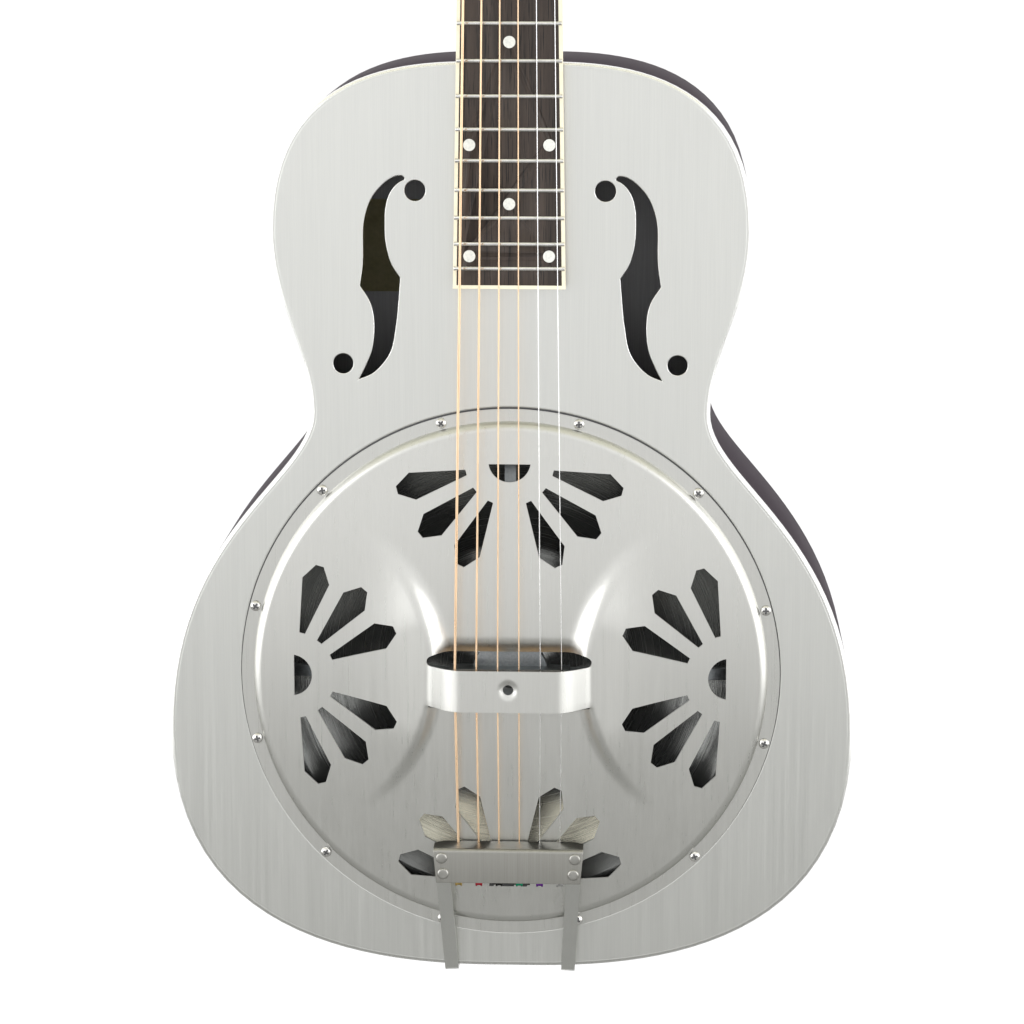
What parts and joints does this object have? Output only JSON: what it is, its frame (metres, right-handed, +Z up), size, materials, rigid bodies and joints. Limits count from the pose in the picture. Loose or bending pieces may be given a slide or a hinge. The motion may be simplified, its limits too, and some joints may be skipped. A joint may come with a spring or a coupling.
{
  "type": "resonator guitar",
  "caption": "Round-neck resonator guitar: brushed steel body, pierced cover plate with hand rest over a spider-bridge cone, trapeze tailpiece, open-gear tuners.",
  "frame": {"origin": "middle of the back of the neck at the nut, where a wall hanger's yoke carries the guitar", "axes": "+Z up the neck to the head, +X to the treble side, the face looks along -Y"},
  "size_m": [0.361, 0.118, 0.9807],
  "materials": {
    "brushed_steel": "brushed along the neck, lacquered",
    "side_steel": "brushed, darker",
    "well_steel": "dark inner steel",
    "spun_aluminium": "spun",
    "cast_aluminium": "as cast",
    "nickel": "bright nickel plate",
    "maple": "bare",
    "mahogany": "satin lacquer",
    "rosewood": "open grain, oiled",
    "ivory_plastic": "cream",
    "pearl_plastic": "pearl white",
    "bone": "polished bone",
    "brass": "turned",
    "bronze_wire": "wound",
    "plain_wire": "drawn",
    "black_plastic": "satin",
    "black_lacquer": "gloss lacquer",
    "paper": "matt paper",
    "button_plastic": "aged white"
  },
  "bodies": {
    "guitar": {"top_plate": "brushed_steel", "body_sides": "side_steel", "back_plate": "brushed_steel", "interior_label": "paper", "coverplate": "brushed_steel", "coverplate_screws": "nickel", "soundwell": "well_steel", "resonator_cone": "spun_aluminium", "spider_bridge": "cast_aluminium", "saddles": "maple", "neck_stick": "maple", "stick_blocks": "maple", "end_block": "maple", "end_pin": "nickel", "tailpiece": "brushed_steel", "tailpiece_straps": "brushed_steel", "tailpiece_rivets": "nickel", "tailpiece_pad": "black_plastic", "ball_ends": "brass", "strings": "bronze_wire", "neck": "mahogany", "fingerboard": "rosewood", "board_binding": "ivory_plastic", "frets": "nickel", "inlay_dots": "pearl_plastic", "nut": "bone", "truss_rod": "nickel", "truss_cover": "black_plastic", "truss_cover_screws": "nickel", "head_veneer": "black_lacquer", "tuner_plates": "nickel", "tuner_bushings": "nickel", "tuner_screws": "nickel"},
    "key_1": {"tuner_worm_1": "nickel", "tuner_button_1": "button_plastic"},
    "post_1": {"tuner_post_1": "nickel", "string_winding_1": "plain_wire"},
    "key_2": {"tuner_worm_2": "nickel", "tuner_button_2": "button_plastic"},
    "post_2": {"tuner_post_2": "nickel", "string_winding_2": "plain_wire"},
    "key_3": {"tuner_worm_3": "nickel", "tuner_button_3": "button_plastic"},
    "post_3": {"tuner_post_3": "nickel", "string_winding_3": "bronze_wire"},
    "key_4": {"tuner_worm_4": "nickel", "tuner_button_4": "button_plastic"},
    "post_4": {"tuner_post_4": "nickel", "string_winding_4": "bronze_wire"},
    "key_5": {"tuner_worm_5": "nickel", "tuner_button_5": "button_plastic"},
    "post_5": {"tuner_post_5": "nickel", "string_winding_5": "bronze_wire"},
    "key_6": {"tuner_worm_6": "nickel", "tuner_button_6": "button_plastic"},
    "post_6": {"tuner_post_6": "nickel", "string_winding_6": "bronze_wire"},
    "truss_nut": {"truss_nut": "brass"},
    "tension_screw": {"tension_screw": "nickel"}
  },
  "joints": [
    {"name": "key_1_turn", "type": "hinge", "parent": "guitar", "child": "key_1", "pos_m": [0.022, 0.01413, 0.03726], "axis": [1, 0, 0], "continuous": true},
    {"name": "post_1_turn", "type": "hinge", "parent": "guitar", "child": "post_1", "pos_m": [0.022, -0.00375, 0.04971], "axis": [0, -0.9657, 0.2598], "continuous": true},
    {"name": "key_2_turn", "type": "hinge", "parent": "guitar", "child": "key_2", "pos_m": [0.022, 0.02335, 0.07154], "axis": [1, 0, 0], "continuous": true},
    {"name": "post_2_turn", "type": "hinge", "parent": "guitar", "child": "post_2", "pos_m": [0.022, 0.00547, 0.08399], "axis": [0, -0.9657, 0.2598], "continuous": true},
    {"name": "key_3_turn", "type": "hinge", "parent": "guitar", "child": "key_3", "pos_m": [0.022, 0.03258, 0.10582], "axis": [1, 0, 0], "continuous": true},
    {"name": "post_3_turn", "type": "hinge", "parent": "guitar", "child": "post_3", "pos_m": [0.022, 0.0147, 0.11827], "axis": [0, -0.9657, 0.2598], "continuous": true},
    {"name": "key_4_turn", "type": "hinge", "parent": "guitar", "child": "key_4", "pos_m": [-0.022, 0.03258, 0.10582], "axis": [1, 0, 0], "continuous": true},
    {"name": "post_4_turn", "type": "hinge", "parent": "guitar", "child": "post_4", "pos_m": [-0.022, 0.0147, 0.11827], "axis": [0, -0.9657, 0.2598], "continuous": true},
    {"name": "key_5_turn", "type": "hinge", "parent": "guitar", "child": "key_5", "pos_m": [-0.022, 0.02335, 0.07154], "axis": [1, 0, 0], "continuous": true},
    {"name": "post_5_turn", "type": "hinge", "parent": "guitar", "child": "post_5", "pos_m": [-0.022, 0.00547, 0.08399], "axis": [0, -0.9657, 0.2598], "continuous": true},
    {"name": "key_6_turn", "type": "hinge", "parent": "guitar", "child": "key_6", "pos_m": [-0.022, 0.01413, 0.03726], "axis": [1, 0, 0], "continuous": true},
    {"name": "post_6_turn", "type": "hinge", "parent": "guitar", "child": "post_6", "pos_m": [-0.022, -0.00375, 0.04971], "axis": [0, -0.9657, 0.2598], "continuous": true},
    {"name": "truss_nut_turn", "type": "hinge", "parent": "guitar", "child": "truss_nut", "pos_m": [0, -0.00917, 0.00717], "axis": [0, 0.0185, 0.9998], "range_deg": [-180, 180]},
    {"name": "tension_screw_turn", "type": "hinge", "parent": "guitar", "child": "tension_screw", "pos_m": [0, -0.0189, -0.64054], "axis": [0, -1, 0], "range_deg": [-180, 180]}
  ],
  "couplings": [
    {"joint": "post_1_turn", "follows": "key_1_turn", "ratio": -0.066667},
    {"joint": "post_2_turn", "follows": "key_2_turn", "ratio": -0.066667},
    {"joint": "post_3_turn", "follows": "key_3_turn", "ratio": -0.066667},
    {"joint": "post_4_turn", "follows": "key_4_turn", "ratio": -0.066667},
    {"joint": "post_5_turn", "follows": "key_5_turn", "ratio": -0.066667},
    {"joint": "post_6_turn", "follows": "key_6_turn", "ratio": -0.066667}
  ]
}
